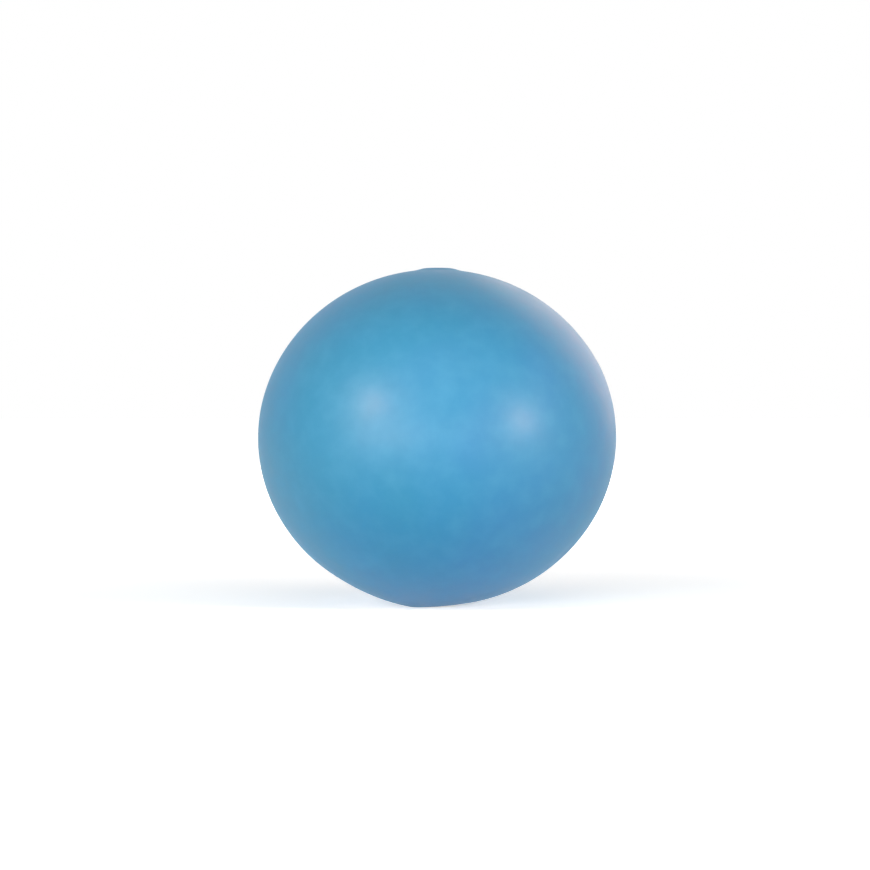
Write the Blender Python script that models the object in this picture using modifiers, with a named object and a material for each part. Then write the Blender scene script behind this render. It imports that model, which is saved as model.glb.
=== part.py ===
"""Hollow squeaky dog ball, in metres, +Z up, standing on its foot with the foot's centre at the origin.

The ball is one seamless moulded shell, a little flatter than it is wide. Its foot is a flat land round the
mouth of the neck, its crown has the low pip that the mould leaves, and inside the neck rises a collar that
grips the squeaker. The squeaker is a housing with a flange, a grooved reed bed, the reed that beats on it,
the wedge that clamps the reed's tail, and a slotted cap that snaps on the inner end.
"""

import math

import bmesh
import bpy
from mathutils import Vector

# Ball
BALL_WIDTH = 0.0700
BALL_ROUND_HEIGHT = 0.06574
WALL = 0.0028
CROWN_PROUD = 0.00021
CROWN_LAND_RADIUS = 0.0016
CROWN_BLEND_RUN = 0.0036
FOOT_PROUD = 0.00018
FOOT_RING = 0.0014
FOOT_BLEND_RUN = 0.0071

# Neck of the ball, round the squeaker
FIT_GAP = 0.0003
LIP_THICKNESS = 0.0015
COLLAR_WALL = 0.0026
COLLAR_TAPER = 0.0008
COLLAR_GRIP = 0.0047

# Squeaker housing
NOZZLE_RADIUS = 0.0037
NOZZLE_RECESS = 0.0005
OUTLET_RADIUS = 0.0005
FLANGE_RADIUS = 0.0060
FLANGE_THICKNESS = 0.0012
FLOOR_ABOVE_FLANGE = 0.0010
BARREL_RADIUS = 0.0044
BARREL_WALL = 0.0010

# Snap bead that holds the cap on the barrel
SNAP_PROUD = 0.0003
SNAP_WIDTH = 0.0008
SNAP_DROP = 0.0014

# Squeaker cap
CAP_WALL = 0.0010
CAP_THICKNESS = 0.0010
SKIRT_LENGTH = 0.0029
SLOT_WIDTH = 0.0012
SLOT_MARGIN = 0.0004

# Reed, its bed and its wedge
REED_THICKNESS = 0.00025
REED_WIDTH = 0.0044
REED_FREE_LENGTH = 0.0056
REED_CURL = 0.0004
REED_OVERLAP = 0.0008
REED_TIP_ROOM = 0.0014
WEDGE_LENGTH = 0.0027
GROOVE_WIDTH = 0.0008
GROOVE_DEPTH = 0.0015

# Rounding of the edges
LIP_FILLET = 0.0004
COLLAR_FILLET = 0.0008
SQUEAKER_FILLET = 0.0002
CAP_FILLET = 0.0004
FILLET_REACH = 0.45

# Facets
BALL_SIDES = 48
BALL_ARC_STEP = math.radians(8.6)
BLEND_STEPS = 5
SQUEAKER_SIDES = 24
FILLET_STEPS = 2
REED_STEPS = 8
MERGE_WITHIN = 0.00001
SHARP_ANGLE = math.radians(35)
CUT_PAST = 0.001
EMPTY_SIZE = 0.005

# Values that follow from the sizes above
ROUND_HALF = BALL_ROUND_HEIGHT / 2
CENTRE_HEIGHT = FOOT_PROUD + ROUND_HALF
CROWN_HEIGHT = CENTRE_HEIGHT + ROUND_HALF + CROWN_PROUD
CROWN_BLEND_RADIUS = CROWN_LAND_RADIUS + CROWN_BLEND_RUN
NECK_MOUTH_RADIUS = NOZZLE_RADIUS + FIT_GAP
FOOT_LAND_RADIUS = NECK_MOUTH_RADIUS + FOOT_RING
FOOT_BLEND_RADIUS = FOOT_LAND_RADIUS + FOOT_BLEND_RUN
NECK_BORE_RADIUS = BARREL_RADIUS + FIT_GAP
FLANGE_SEAT_RADIUS = FLANGE_RADIUS + FIT_GAP
FLANGE_SEAT_TOP = LIP_THICKNESS + FLANGE_THICKNESS + 2 * FIT_GAP
COLLAR_TOP = FLANGE_SEAT_TOP + COLLAR_GRIP
SQUEAKER_HEIGHT = LIP_THICKNESS + FIT_GAP
NOZZLE_END = NOZZLE_RECESS - SQUEAKER_HEIGHT
BORE_RADIUS = BARREL_RADIUS - BARREL_WALL
BORE_FLOOR = FLANGE_THICKNESS + FLOOR_ABOVE_FLANGE
PACK_RADIUS = BORE_RADIUS - FIT_GAP
PACK_BASE = BORE_FLOOR + FIT_GAP
PACK_FACE = REED_THICKNESS / 2 + FIT_GAP
CLAMP_HEIGHT = PACK_BASE + WEDGE_LENGTH
REED_TIP_HEIGHT = CLAMP_HEIGHT + REED_FREE_LENGTH
GROOVE_TOP = REED_TIP_HEIGHT - REED_OVERLAP
BARREL_END = REED_TIP_HEIGHT + REED_TIP_ROOM


def clear_scene():
    """Remove every object of the open scene."""
    for obj in list(bpy.data.objects):
        bpy.data.objects.remove(obj, do_unlink=True)


def make_collection(name):
    """Add a collection to the scene."""
    collection = bpy.data.collections.new(name)
    bpy.context.scene.collection.children.link(collection)
    return collection


def linear(hex_colour):
    """Turn an sRGB hex colour into linear red, green, blue and alpha."""
    channels = [int(hex_colour[i : i + 2], 16) / 255 for i in (1, 3, 5)]
    return [c / 12.92 if c <= 0.04045 else ((c + 0.055) / 1.055) ** 2.4 for c in channels] + [1.0]


def make_material(name, hex_colour, roughness):
    """Make a moulded plastic or rubber material."""
    material = bpy.data.materials.new(name)
    material.use_nodes = True
    material.diffuse_color = linear(hex_colour)
    shader = material.node_tree.nodes["Principled BSDF"]
    shader.inputs["Base Color"].default_value = linear(hex_colour)
    shader.inputs["Roughness"].default_value = roughness
    shader.inputs["Metallic"].default_value = 0.0
    return material


def add_object(name, mesh, collection, material=None):
    """Put a mesh into a collection as a named object."""
    obj = bpy.data.objects.new(name, mesh)
    collection.objects.link(obj)
    if material:
        obj.data.materials.append(material)
    return obj


def add_empty(name, collection, parent=None, height=0.0):
    """Add an empty on the ball's axis, to carry the pieces that sit there."""
    empty = bpy.data.objects.new(name, None)
    empty.empty_display_size = EMPTY_SIZE
    empty.location.z = height
    empty.parent = parent
    collection.objects.link(empty)
    return empty


def apply_modifiers(obj):
    """Replace an object's mesh by what its modifiers make of it."""
    graph = bpy.context.evaluated_depsgraph_get()
    mesh = bpy.data.meshes.new_from_object(obj.evaluated_get(graph))
    obj.modifiers.clear()
    obj.data = mesh


def shade(obj):
    """Shade round surfaces smooth and keep their corners sharp."""
    obj.data.shade_smooth()
    obj.data.set_sharp_from_angle(angle=SHARP_ANGLE)


def turned(name, profile, sides, collection, material, closed=False):
    """Turn a profile of (radius, height) points about the Z axis into an object."""
    ends = [(i, i + 1) for i in range(len(profile) - 1)]
    if closed:
        ends.append((len(profile) - 1, 0))
    mesh = bpy.data.meshes.new(name)
    mesh.from_pydata([(radius, 0.0, height) for radius, height in profile], ends, [])
    obj = add_object(name, mesh, collection, material)
    screw = obj.modifiers.new("turned", "SCREW")
    screw.steps = sides
    screw.render_steps = sides
    screw.use_merge_vertices = True
    screw.merge_threshold = MERGE_WITHIN
    apply_modifiers(obj)
    shade(obj)
    return obj


def box_cutter(name, low, high, collection, parent=None):
    """Make a box that cuts other pieces, from its lowest and highest corners."""
    mesh = bpy.data.meshes.new(name)
    cube = bmesh.new()
    bmesh.ops.create_cube(cube, size=1.0)
    size = Vector(high) - Vector(low)
    bmesh.ops.scale(cube, vec=size, verts=cube.verts)
    cube.to_mesh(mesh)
    cube.free()
    cutter = add_object(name, mesh, collection)
    cutter.location = (Vector(low) + Vector(high)) / 2
    cutter.parent = parent
    cutter.hide_render = True
    cutter.display_type = "WIRE"
    return cutter


def cut(obj, cutter):
    """Cut one object out of another."""
    boolean = obj.modifiers.new(cutter.name, "BOOLEAN")
    boolean.operation = "DIFFERENCE"
    boolean.solver = "EXACT"
    boolean.object = cutter


def filleted(corners, closed=False):
    """Round the corners of a profile.

    Each corner is (radius, height, fillet). A fillet reaches along at most the share FILLET_REACH of the
    shorter side beside it, so that it never runs into the next one.
    """
    points = []
    last = len(corners) - 1
    for i, (radius, height, fillet) in enumerate(corners):
        here = Vector((radius, height))
        if fillet == 0 or (not closed and i in (0, last)):
            points.append(here)
            continue
        before = Vector(corners[i - 1][:2]) - here
        after = Vector(corners[(i + 1) % len(corners)][:2]) - here
        half = before.angle(after) / 2
        room = FILLET_REACH * min(before.length, after.length)
        reach = min(fillet / math.tan(half), room)
        start = here + before.normalized() * reach
        centre = here + (before.normalized() + after.normalized()).normalized() * reach / math.cos(half)
        arm = start - centre
        turn = (math.pi - 2 * half) * math.copysign(1, before.x * after.y - before.y * after.x)
        for step in range(FILLET_STEPS + 1):
            angle = -turn * step / FILLET_STEPS
            swung = Vector(
                (
                    arm.x * math.cos(angle) - arm.y * math.sin(angle),
                    arm.x * math.sin(angle) + arm.y * math.cos(angle),
                )
            )
            points.append(centre + swung)
    return points


def spheroid_height(radius, half_width, half_height):
    """Height of a spheroid's surface over its centre, at a radius from its axis."""
    return half_height * math.sqrt(1 - (radius / half_width) ** 2)


def blend(land_radius, land_height, round_radius, side):
    """Points from a flat land's edge to the ball's round, tangent to both.

    Side is 1 at the crown and -1 at the foot.
    """
    half_width = BALL_WIDTH / 2
    rise = spheroid_height(round_radius, half_width, ROUND_HALF)
    end_height = CENTRE_HEIGHT + side * rise
    end_slope = -side * (ROUND_HALF / half_width) ** 2 * round_radius / rise
    run = round_radius - land_radius
    points = []
    for step in range(BLEND_STEPS + 1):
        t = step / BLEND_STEPS
        height = (
            (2 * t**3 - 3 * t**2 + 1) * land_height
            + (3 * t**2 - 2 * t**3) * end_height
            + (t**3 - t**2) * end_slope * run
        )
        points.append(Vector((land_radius + run * t, height)))
    return points


def round_arc(half_width, half_height, start_radius, end_radius):
    """Points down a spheroid's side, between a radius near its top and one near its bottom.

    One point is on the equator, so that the ball has its full width there. The two ends are left out,
    because the blends and corners beside the arc hold them.
    """
    equator = math.pi / 2
    start = math.asin(start_radius / half_width)
    end = math.pi - math.asin(end_radius / half_width)
    upper_steps = math.ceil((equator - start) / BALL_ARC_STEP)
    lower_steps = math.ceil((end - equator) / BALL_ARC_STEP)
    angles = [start + (equator - start) * i / upper_steps for i in range(1, upper_steps + 1)]
    angles += [equator + (end - equator) * i / lower_steps for i in range(1, lower_steps)]
    return [Vector((half_width * math.sin(a), CENTRE_HEIGHT + half_height * math.cos(a))) for a in angles]


def shell_profile():
    """Profile of the ball's wall, from the crown down its outside, through the neck and back up inside."""
    half_width = BALL_WIDTH / 2
    outside = [Vector((0.0, CROWN_HEIGHT))]
    outside += blend(CROWN_LAND_RADIUS, CROWN_HEIGHT, CROWN_BLEND_RADIUS, 1)
    outside += round_arc(half_width, ROUND_HALF, CROWN_BLEND_RADIUS, FOOT_BLEND_RADIUS)
    outside += reversed(blend(FOOT_LAND_RADIUS, 0.0, FOOT_BLEND_RADIUS, -1))

    inner_half_width = half_width - WALL
    inner_half_height = ROUND_HALF - WALL
    collar_root = FLANGE_SEAT_RADIUS + COLLAR_WALL
    root_height = CENTRE_HEIGHT - spheroid_height(collar_root, inner_half_width, inner_half_height)
    inside = list(reversed(round_arc(inner_half_width, inner_half_height, 0.0, collar_root)))
    neck = filleted(
        [
            (FOOT_LAND_RADIUS, 0.0, 0.0),
            (NECK_MOUTH_RADIUS, 0.0, LIP_FILLET),
            (NECK_MOUTH_RADIUS, LIP_THICKNESS, LIP_FILLET),
            (FLANGE_SEAT_RADIUS, LIP_THICKNESS, 0.0),
            (FLANGE_SEAT_RADIUS, FLANGE_SEAT_TOP, 0.0),
            (NECK_BORE_RADIUS, FLANGE_SEAT_TOP, LIP_FILLET),
            (NECK_BORE_RADIUS, COLLAR_TOP, COLLAR_FILLET),
            (collar_root - COLLAR_TAPER, COLLAR_TOP, COLLAR_FILLET),
            (collar_root, root_height, COLLAR_FILLET),
            (inside[0].x, inside[0].y, 0.0),
        ]
    )
    return outside + neck[1:] + inside[1:] + [Vector((0.0, CENTRE_HEIGHT + inner_half_height))]


def build_ball_shell(collection):
    """The moulded vinyl ball, open only at its neck."""
    vinyl = make_material("satin blue vinyl", "#4FA3CE", 0.42)
    return turned("ball_shell", shell_profile(), BALL_SIDES, collection, vinyl)


def build_squeaker_housing(collection, seat, plastic):
    """The squeaker's body: nozzle in the neck's mouth, flange in its seat, barrel up into the ball."""
    bead_top = BARREL_END - SNAP_DROP
    profile = filleted(
        [
            (BORE_RADIUS, BARREL_END, SQUEAKER_FILLET),
            (BARREL_RADIUS, BARREL_END, SQUEAKER_FILLET),
            (BARREL_RADIUS, bead_top, 0.0),
            (BARREL_RADIUS + SNAP_PROUD, bead_top - SNAP_WIDTH / 2, SQUEAKER_FILLET),
            (BARREL_RADIUS, bead_top - SNAP_WIDTH, 0.0),
            (BARREL_RADIUS, FLANGE_THICKNESS, SQUEAKER_FILLET),
            (FLANGE_RADIUS, FLANGE_THICKNESS, SQUEAKER_FILLET),
            (FLANGE_RADIUS, 0.0, SQUEAKER_FILLET),
            (NOZZLE_RADIUS, 0.0, SQUEAKER_FILLET),
            (NOZZLE_RADIUS, NOZZLE_END, SQUEAKER_FILLET),
            (OUTLET_RADIUS, NOZZLE_END, SQUEAKER_FILLET),
            (OUTLET_RADIUS, BORE_FLOOR, SQUEAKER_FILLET),
            (BORE_RADIUS, BORE_FLOOR, 0.0),
        ],
        closed=True,
    )
    housing = turned("squeaker_housing", profile, SQUEAKER_SIDES, collection, plastic, closed=True)
    housing.parent = seat
    return housing


def build_squeaker_cap(collection, cutters, seat, plastic):
    """The cap on the barrel's inner end, with two crossed slots that let the air through."""
    inner = BARREL_RADIUS + FIT_GAP
    outer = inner + SNAP_PROUD + CAP_WALL
    skirt_end = -SKIRT_LENGTH
    snap_low = -FIT_GAP - SNAP_DROP - SNAP_WIDTH - FIT_GAP
    snap_high = -FIT_GAP - SNAP_DROP + FIT_GAP
    profile = filleted(
        [
            (0.0, CAP_THICKNESS, 0.0),
            (outer, CAP_THICKNESS, CAP_FILLET),
            (outer, skirt_end, SQUEAKER_FILLET),
            (inner, skirt_end, SQUEAKER_FILLET),
            (inner, snap_low, 0.0),
            (inner + SNAP_PROUD, (snap_low + snap_high) / 2, SQUEAKER_FILLET),
            (inner, snap_high, 0.0),
            (inner, 0.0, 0.0),
            (0.0, 0.0, 0.0),
        ]
    )
    cap = turned("squeaker_cap", profile, SQUEAKER_SIDES, collection, plastic)
    cap.location.z = BARREL_END + FIT_GAP
    cap.parent = seat
    reach = BORE_RADIUS - SLOT_MARGIN
    half = SLOT_WIDTH / 2
    for name, x, y in (("slot_along_x", reach, half), ("slot_along_y", half, reach)):
        low = (-x, -y, BARREL_END + FIT_GAP - CUT_PAST)
        high = (x, y, BARREL_END + FIT_GAP + CAP_THICKNESS + CUT_PAST)
        cut(cap, box_cutter(name, low, high, cutters, seat))
    return cap


def build_half_round(name, base, top, side, collection, cutters, seat, plastic):
    """A half round block that lies in the barrel on one side of the reed, its flat face to the reed.

    Side is 1 for the block on the +Y side and -1 for the one on the -Y side.
    """
    mesh = bpy.data.meshes.new(name)
    rod = bmesh.new()
    bmesh.ops.create_cone(
        rod,
        cap_ends=True,
        segments=SQUEAKER_SIDES,
        radius1=PACK_RADIUS,
        radius2=PACK_RADIUS,
        depth=top - base,
    )
    rod.to_mesh(mesh)
    rod.free()
    block = add_object(name, mesh, collection, plastic)
    block.location.z = (base + top) / 2
    block.parent = seat
    shade(block)
    face = side * PACK_FACE
    reach = PACK_RADIUS + CUT_PAST
    past = -side * reach
    low = (-reach, min(face, past), base - CUT_PAST)
    high = (reach, max(face, past), top + CUT_PAST)
    cut(block, box_cutter(f"{name}_face", low, high, cutters, seat))
    return block


def build_reed_bed(collection, cutters, seat, plastic):
    """The block that the reed beats on, with the groove that leads the air to the outlet."""
    bed = build_half_round("reed_bed", PACK_BASE, BARREL_END, -1, collection, cutters, seat, plastic)
    low = (-GROOVE_WIDTH / 2, -PACK_FACE - GROOVE_DEPTH, PACK_BASE - CUT_PAST)
    high = (GROOVE_WIDTH / 2, -PACK_FACE + CUT_PAST, GROOVE_TOP)
    cut(bed, box_cutter("reed_bed_groove", low, high, cutters, seat))
    return bed


def build_reed(collection, seat, film):
    """The springy strip, clamped at its tail and curled a little off the bed at its tip.

    Its origin is on the line where the wedge lets go of it, which is where it bends.
    """
    hinge = add_empty("reed_hinge", collection, seat, CLAMP_HEIGHT)
    tail = WEDGE_LENGTH - FIT_GAP
    length = tail + REED_FREE_LENGTH
    strip = bmesh.new()
    bmesh.ops.create_grid(strip, x_segments=1, y_segments=REED_STEPS, size=0.5)
    for vert in strip.verts:
        along = (vert.co.y + 0.5) * length - tail
        curl = REED_CURL * (max(along, 0.0) / REED_FREE_LENGTH) ** 2
        vert.co = Vector((vert.co.x * REED_WIDTH, curl, along))
    mesh = bpy.data.meshes.new("reed")
    strip.to_mesh(mesh)
    strip.free()
    reed = add_object("reed", mesh, collection, film)
    reed.parent = hinge
    thickness = reed.modifiers.new("thickness", "SOLIDIFY")
    thickness.thickness = REED_THICKNESS
    thickness.offset = 0.0
    return reed


def main():
    clear_scene()
    ball = make_collection("squeaky_dog_ball")
    cutters = make_collection("cutters")
    build_ball_shell(ball)
    seat = add_empty("squeaker_seat", ball, height=SQUEAKER_HEIGHT)
    plastic = make_material("white polyethylene", "#E9E8E2", 0.38)
    film = make_material("amber reed film", "#D8B467", 0.25)
    build_squeaker_housing(ball, seat, plastic)
    build_squeaker_cap(ball, cutters, seat, plastic)
    build_reed_bed(ball, cutters, seat, plastic)
    build_reed(ball, seat, film)
    build_half_round("reed_wedge", PACK_BASE, CLAMP_HEIGHT, 1, ball, cutters, seat, plastic)


main()
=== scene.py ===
"""Looks of a hollow squeaky ball for dogs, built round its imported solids.

The ball is one skin of satin blue vinyl, cast in a heated mould. Under it, in the neck's mouth, shows the
nozzle of the squeaker, which is moulded in white polyethylene. The housing holds a bed, a wedge and a reed
of amber film, and a slotted cap closes its inner end. All sizes are in metres, in the solids' frame.
"""

import logging
import math
from collections.abc import Callable, Sequence
from dataclasses import dataclass, field
from enum import Enum

import bmesh
import bpy
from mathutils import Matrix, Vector, noise


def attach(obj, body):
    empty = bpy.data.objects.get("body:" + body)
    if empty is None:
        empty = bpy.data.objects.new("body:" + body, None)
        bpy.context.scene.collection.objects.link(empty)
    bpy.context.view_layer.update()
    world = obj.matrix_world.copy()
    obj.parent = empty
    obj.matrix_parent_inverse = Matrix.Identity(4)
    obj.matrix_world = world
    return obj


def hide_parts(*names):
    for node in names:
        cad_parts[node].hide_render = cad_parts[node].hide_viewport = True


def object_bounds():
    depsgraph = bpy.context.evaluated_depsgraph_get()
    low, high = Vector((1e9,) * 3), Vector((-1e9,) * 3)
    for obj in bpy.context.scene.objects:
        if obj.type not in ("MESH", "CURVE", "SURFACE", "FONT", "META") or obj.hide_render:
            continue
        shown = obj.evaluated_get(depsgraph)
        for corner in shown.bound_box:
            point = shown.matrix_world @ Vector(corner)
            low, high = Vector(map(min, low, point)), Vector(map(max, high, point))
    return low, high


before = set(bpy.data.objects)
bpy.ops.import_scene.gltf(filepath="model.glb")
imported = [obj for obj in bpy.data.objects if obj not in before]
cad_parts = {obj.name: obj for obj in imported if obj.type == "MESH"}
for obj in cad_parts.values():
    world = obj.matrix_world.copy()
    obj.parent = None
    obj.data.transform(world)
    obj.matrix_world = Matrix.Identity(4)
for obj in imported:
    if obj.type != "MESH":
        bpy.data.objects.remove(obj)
cad_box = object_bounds()

log = logging.getLogger("squeaky_ball")

MM = 0.001
# A Mix node has sockets of the same name for each data type, so its colours are reached by number.
MIX_A, MIX_B, MIX_OUT = 6, 7, 2
SHARP_ANGLE = math.radians(38)
BEVEL_SEGMENTS = 3
# A section's point this near the axis is on it.
ON_AXIS = 1e-9
# The most of a side that the fillet of one of its corners takes.
FILLET_SHARE = 0.45
# How far a cutter reaches past what it cuts.
CUT_PAST = 0.5 * MM
# How high the ball's middle is, and where the two clear shines lie on the vinyl, from there.
MIDDLE_HEIGHT = 33.05 * MM
LEFT_SHINE = (-11.5 * MM, -32.0 * MM, 6.0 * MM)
RIGHT_SHINE = (15.5 * MM, -29.0 * MM, 4.0 * MM)

Section = Callable[[float], Sequence[Vector]]


class Slot(Enum):
    """The record's material slots."""

    VINYL = "blue_vinyl"
    PLASTIC = "white_plastic"
    FILM = "reed_film"


class Body(Enum):
    """The bodies that the joints move."""

    BALL = "ball"
    REED = "reed"


class Side(Enum):
    """The side of the reed that a half round block lies on."""

    BED = -1
    WEDGE = 1


def linear(hex_colour: str) -> tuple[float, float, float, float]:
    """Turn an sRGB hex colour into linear light.

    Args:
        hex_colour: a colour such as "#2F9ACB".

    Returns:
        Its red, green, blue and alpha.
    """
    channels = [int(hex_colour[i : i + 2], 16) / 255 for i in (1, 3, 5)]
    red, green, blue = (c / 12.92 if c <= 0.04045 else ((c + 0.055) / 1.055) ** 2.4 for c in channels)
    return red, green, blue, 1.0


def add_node(
    tree: bpy.types.NodeTree, kind: str, inputs: dict | None = None, **settings: object
) -> bpy.types.Node:
    """Add a node with its settings and links.

    Args:
        tree: the tree that the node goes into.
        kind: the node's type name.
        inputs: for each input's name or number, its value or the output that it is linked from.
        settings: the node's own properties.

    Returns:
        The node.
    """
    node = tree.nodes.new(kind)
    for name, value in settings.items():
        setattr(node, name, value)
    for socket, value in (inputs or {}).items():
        if isinstance(value, bpy.types.NodeSocket):
            tree.links.new(value, node.inputs[socket])
        else:
            node.inputs[socket].default_value = value
    return node


def smoothstep(low: float, high: float, value: float) -> float:
    """Rise smoothly from 0 at low to 1 at high."""
    t = min(max((value - low) / (high - low), 0.0), 1.0)
    return t * t * (3 - 2 * t)


def rounded(corners: Sequence[tuple[float, float, float]], steps: int, closed: bool = False) -> list[Vector]:
    """Round the corners of a profile.

    Args:
        corners: each corner's radius, height and fillet.
        steps: how many pieces each fillet has.
        closed: whether the last corner joins the first.

    Returns:
        The profile's points, as radius and height.
    """
    points = []
    last = len(corners) - 1
    for i, (radius, height, fillet) in enumerate(corners):
        here = Vector((radius, height))
        if fillet == 0 or (not closed and i in (0, last)):
            points.append(here)
            continue
        before = Vector(corners[i - 1][:2]) - here
        after = Vector(corners[(i + 1) % len(corners)][:2]) - here
        half = before.angle(after) / 2
        reach = min(fillet / math.tan(half), FILLET_SHARE * before.length, FILLET_SHARE * after.length)
        centre = here + (before.normalized() + after.normalized()).normalized() * reach / math.cos(half)
        start = here + before.normalized() * reach - centre
        turn = (math.pi - 2 * half) * math.copysign(1, after.x * before.y - after.y * before.x)
        for step in range(steps + 1):
            angle = turn * step / steps
            cosine, sine = math.cos(angle), math.sin(angle)
            arm = Vector((start.x * cosine - start.y * sine, start.x * sine + start.y * cosine))
            points.append(centre + arm)
    return points


def hermite(start: Vector, start_slope: float, end: Vector, end_slope: float, steps: int) -> list[Vector]:
    """Run a smooth curve between two profile points.

    Args:
        start: the first radius and height.
        start_slope: the height gained for each unit of radius there.
        end: the last radius and height.
        end_slope: the slope there.
        steps: how many pieces the curve has.

    Returns:
        Its points, with both ends.
    """
    run = end.x - start.x
    points = []
    for step in range(steps + 1):
        t = step / steps
        height = (
            (2 * t**3 - 3 * t**2 + 1) * start.y
            + (t**3 - 2 * t**2 + t) * start_slope * run
            + (3 * t**2 - 2 * t**3) * end.y
            + (t**3 - t**2) * end_slope * run
        )
        points.append(Vector((start.x + run * t, height)))
    return points


def revolve(name: str, section: Section, sides: int, closed: bool = False) -> bpy.types.Object:
    """Turn a section about the Z axis into a closed mesh.

    Args:
        name: the piece's name.
        section: gives the points, as radius and height, at an azimuth. The count is the same all round.
        sides: how many sections there are round the axis.
        closed: whether each section is a loop, for a piece with a hole through it.

    Returns:
        The piece.
    """
    shape = bmesh.new()
    first = section(0.0)
    on_axis = [not closed and abs(point.x) < ON_AXIS for point in first]
    poles = {i: shape.verts.new((0.0, 0.0, first[i].y)) for i, pole in enumerate(on_axis) if pole}
    rings = []
    for side in range(sides):
        azimuth = 2 * math.pi * side / sides
        cosine, sine = math.cos(azimuth), math.sin(azimuth)
        ring = [
            poles.get(i) or shape.verts.new((point.x * cosine, point.x * sine, point.y))
            for i, point in enumerate(section(azimuth))
        ]
        rings.append(ring)
    count = len(first)
    pairs = [(i, (i + 1) % count) for i in range(count if closed else count - 1)]
    for side, ring in enumerate(rings):
        following = rings[(side + 1) % sides]
        for i, j in pairs:
            corners = dict.fromkeys((ring[i], ring[j], following[j], following[i]))
            shape.faces.new(list(corners))
    bmesh.ops.recalc_face_normals(shape, faces=shape.faces)
    return piece_of(name, shape)


def extrude(name: str, outlines: Sequence[Sequence[Vector]]) -> bpy.types.Object:
    """Join a stack of outlines with the same count of points into a closed mesh.

    Args:
        name: the piece's name.
        outlines: the outlines, each a loop of points in space, one above the other.

    Returns:
        The piece.
    """
    shape = bmesh.new()
    loops = [[shape.verts.new(point) for point in outline] for outline in outlines]
    count = len(loops[0])
    for low, high in zip(loops, loops[1:]):
        for i in range(count):
            j = (i + 1) % count
            shape.faces.new((low[i], low[j], high[j], high[i]))
    shape.faces.new(loops[0])
    shape.faces.new(loops[-1])
    bmesh.ops.recalc_face_normals(shape, faces=shape.faces)
    return piece_of(name, shape)


def piece_of(name: str, shape: bmesh.types.BMesh) -> bpy.types.Object:
    """Make an object of a mesh under construction.

    Args:
        name: the piece's name.
        shape: the mesh, which is freed.

    Returns:
        The object, in the scene.
    """
    mesh = bpy.data.meshes.new(name)
    shape.to_mesh(mesh)
    shape.free()
    piece = bpy.data.objects.new(name, mesh)
    bpy.context.scene.collection.objects.link(piece)
    return piece


def bevel(piece: bpy.types.Object, width: float) -> None:
    """Round a piece's corners.

    Args:
        piece: the piece.
        width: how wide each rounded edge is.
    """
    modifier = piece.modifiers.new("rounded edges", "BEVEL")
    modifier.width = width
    modifier.segments = BEVEL_SEGMENTS
    modifier.limit_method = "ANGLE"
    modifier.angle_limit = SHARP_ANGLE


def cut(piece: bpy.types.Object, cutter: bpy.types.Object) -> None:
    """Cut one piece out of another.

    Args:
        piece: the piece that is cut.
        cutter: what is cut out of it, which is removed.
    """
    boolean = piece.modifiers.new("cut", "BOOLEAN")
    boolean.object = cutter
    apply_modifiers(piece)
    bpy.data.objects.remove(cutter, do_unlink=True)


def apply_modifiers(piece: bpy.types.Object) -> None:
    """Replace a piece's mesh by what its modifiers make of it.

    Args:
        piece: the piece.
    """
    graph = bpy.context.evaluated_depsgraph_get()
    mesh = bpy.data.meshes.new_from_object(piece.evaluated_get(graph))
    piece.modifiers.clear()
    piece.data = mesh


def fit(piece: bpy.types.Object, finish: "Finish", body: Body, node: str) -> None:
    """Dress a piece, put it on its body and let it stand for its solid.

    Args:
        piece: the piece, in place.
        finish: its material.
        body: the body that it moves with.
        node: the solid that it stands for.
    """
    piece.data.materials.clear()
    piece.data.materials.append(finish.material())
    piece.data.shade_smooth()
    piece.data.set_sharp_from_angle(angle=SHARP_ANGLE)
    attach(piece, body.value)
    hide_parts(node)
    log.info("%s: %d faces, for %s", piece.name, len(piece.data.polygons), node)


@dataclass(frozen=True)
class Pattern:
    """A noise on the surface: the real size of what it draws, and how much finer detail is in it."""

    size: float
    detail: float
    roughness: float = 0.5
    distortion: float = 0.0

    def inputs(self, place: bpy.types.NodeSocket) -> dict[str, object]:
        """Give what a noise node takes.

        Args:
            place: where on the surface it is asked for.

        Returns:
            The inputs by name.
        """
        return {
            "Vector": place,
            "Scale": 1 / self.size,
            "Detail": self.detail,
            "Roughness": self.roughness,
            "Distortion": self.distortion,
        }


@dataclass(frozen=True)
class Ramp:
    """How one measure follows another: it goes from low to high while the other goes from start to end."""

    start: float
    end: float
    low: float
    high: float

    def inputs(self, value: bpy.types.NodeSocket) -> dict[str, object]:
        """Give what a range node takes.

        Args:
            value: the measure that is followed.

        Returns:
            The inputs by name.
        """
        return {
            "Value": value,
            "From Min": self.start,
            "From Max": self.end,
            "To Min": self.low,
            "To Max": self.high,
        }


@dataclass(frozen=True)
class Finish:
    """What all the finishes here share: a name, how hard the surface shines and how its dullness varies."""

    name: str
    ior: float
    roughness: Ramp

    def material(self) -> bpy.types.Material:
        """Find this finish's material, or make it.

        Returns:
            The material.
        """
        made = bpy.data.materials.get(self.name)
        if made is None:
            made = bpy.data.materials.new(self.name)
            made.use_nodes = True
            made.node_tree.nodes.clear()
            self.dress(made.node_tree)
        return made

    def dress(self, tree: bpy.types.NodeTree) -> None:
        """Fill the material's tree."""
        raise NotImplementedError


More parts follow.
